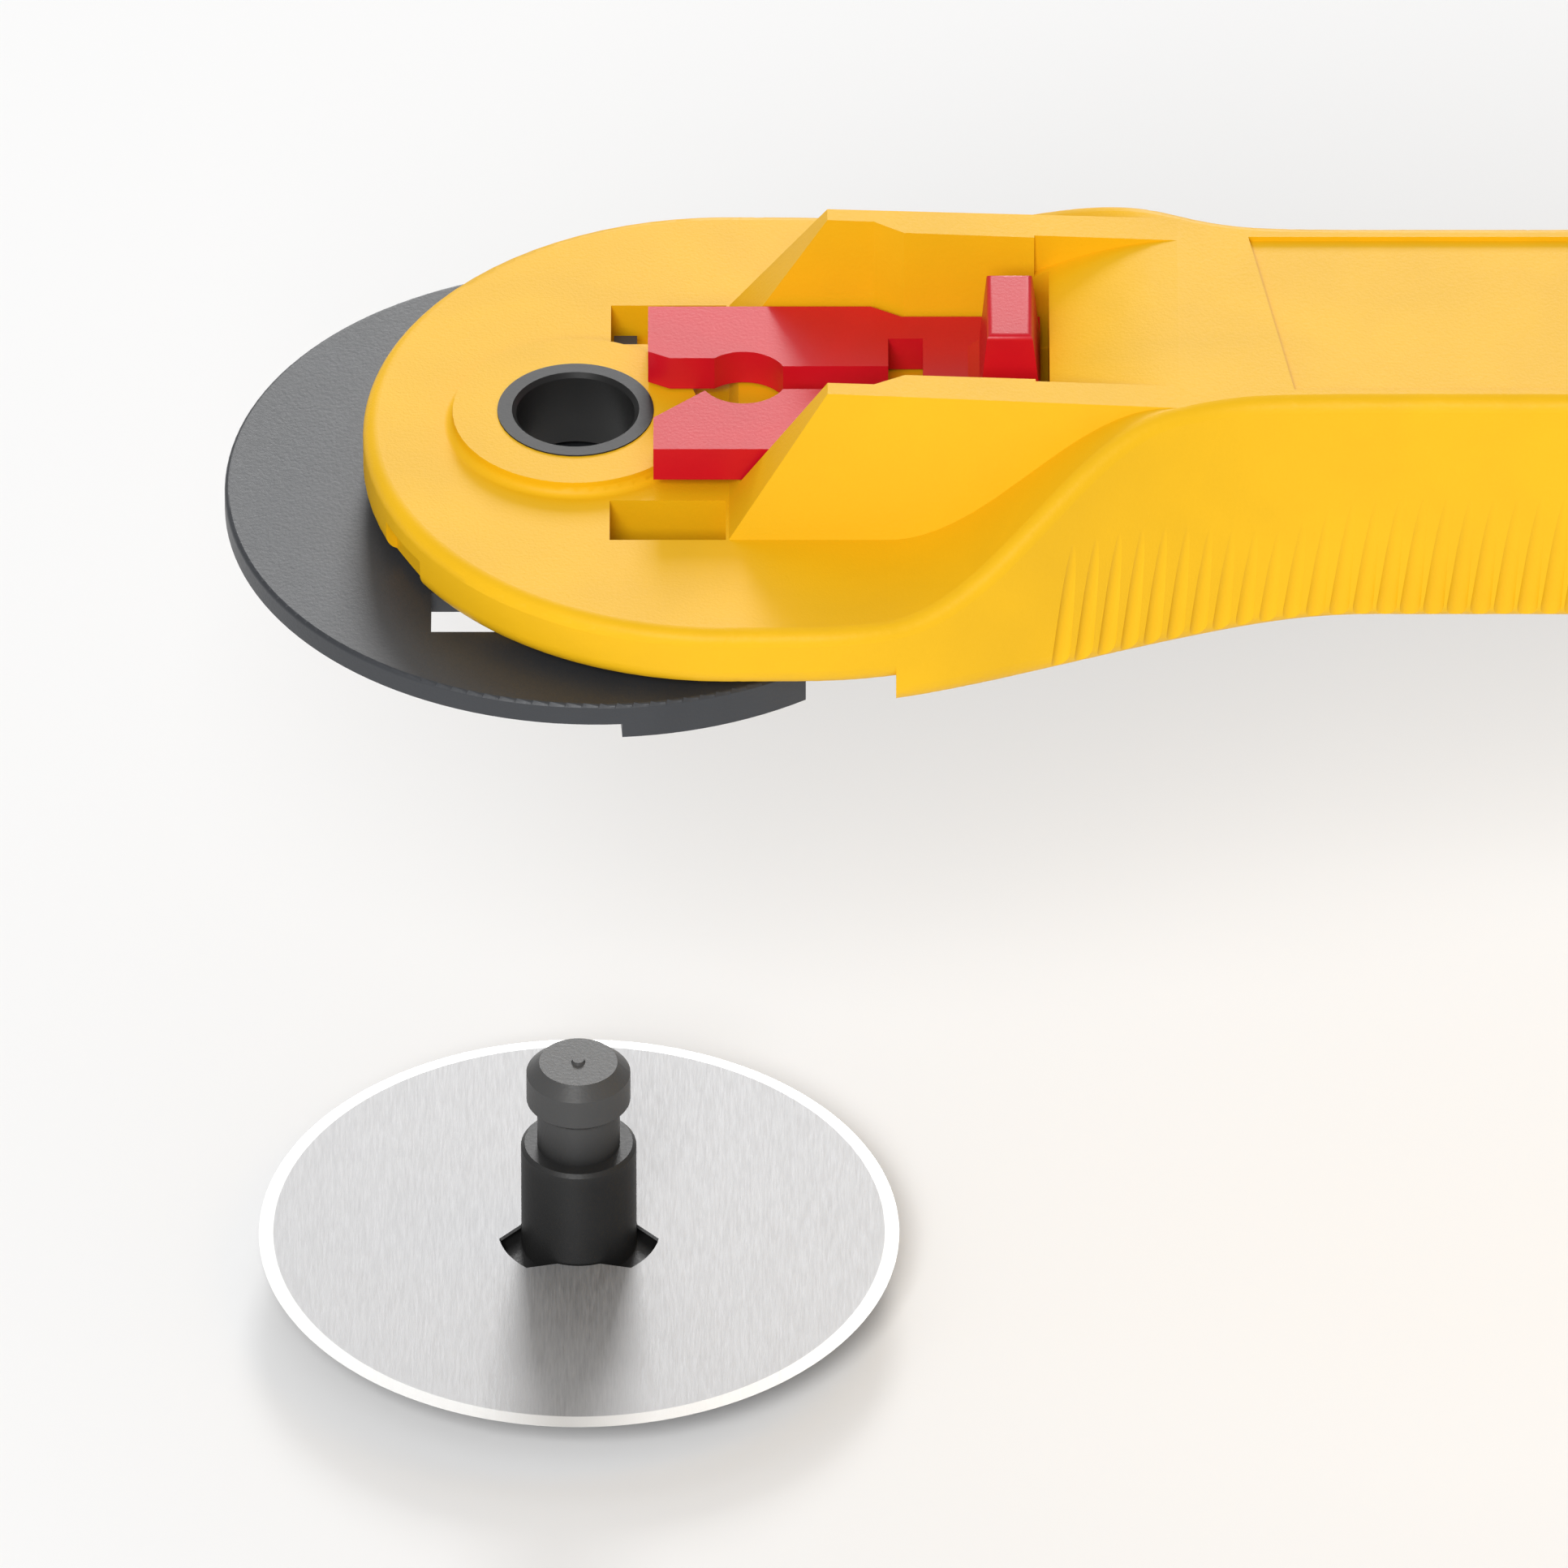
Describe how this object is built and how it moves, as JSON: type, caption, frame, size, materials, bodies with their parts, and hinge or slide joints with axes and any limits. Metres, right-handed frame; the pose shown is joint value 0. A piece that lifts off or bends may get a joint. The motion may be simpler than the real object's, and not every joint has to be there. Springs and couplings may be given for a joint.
{
  "type": "rotary cutter",
  "caption": "Hand-held rotary cutter with a quick-change round blade and axle pin, sliding lock and sliding disc guard.",
  "frame": {"origin": "middle of the grip, where a hand closes round the handle", "axes": "+X along the handle away from the blade, +Z out of the handle's top face, along the blade's axle"},
  "size_m": [0.1668, 0.0516, 0.0844],
  "materials": {
    "handle_plastic": "fine satin moulding",
    "cover_plastic": "fine satin moulding",
    "screw_steel": "zinc plated",
    "bush_plastic": "smooth black",
    "lock_plastic": "semi-gloss red",
    "guard_plastic": "satin black",
    "blade_steel": "fine straight grain, ground edge",
    "pin_plastic": "satin black"
  },
  "bodies": {
    "handle": {"handle_body": "handle_plastic", "handle_cover": "cover_plastic", "cover_screws": "screw_steel", "pin_bush": "bush_plastic"},
    "lock": {"lock_slide": "lock_plastic"},
    "guard": {"blade_guard": "guard_plastic"},
    "pin": {"axle_pin": "pin_plastic"},
    "blade_disc": {"blade": "blade_steel"}
  },
  "joints": [
    {"name": "lock_travel", "type": "slide", "parent": "handle", "child": "lock", "axis": [-1, 0, 0], "range_m": [0, 0.0116]},
    {"name": "guard_travel", "type": "slide", "parent": "handle", "child": "guard", "axis": [1, 0, 0], "range_m": [0, 0.006]},
    {"name": "pin_insert", "type": "slide", "parent": "handle", "child": "pin", "axis": [0, 0, 1], "range_m": [0, 0.063]},
    {"name": "blade_spin", "type": "hinge", "parent": "pin", "child": "blade_disc", "pos_m": [-0.092, 0, -0.0705], "axis": [0, 0, 1], "continuous": true}
  ]
}
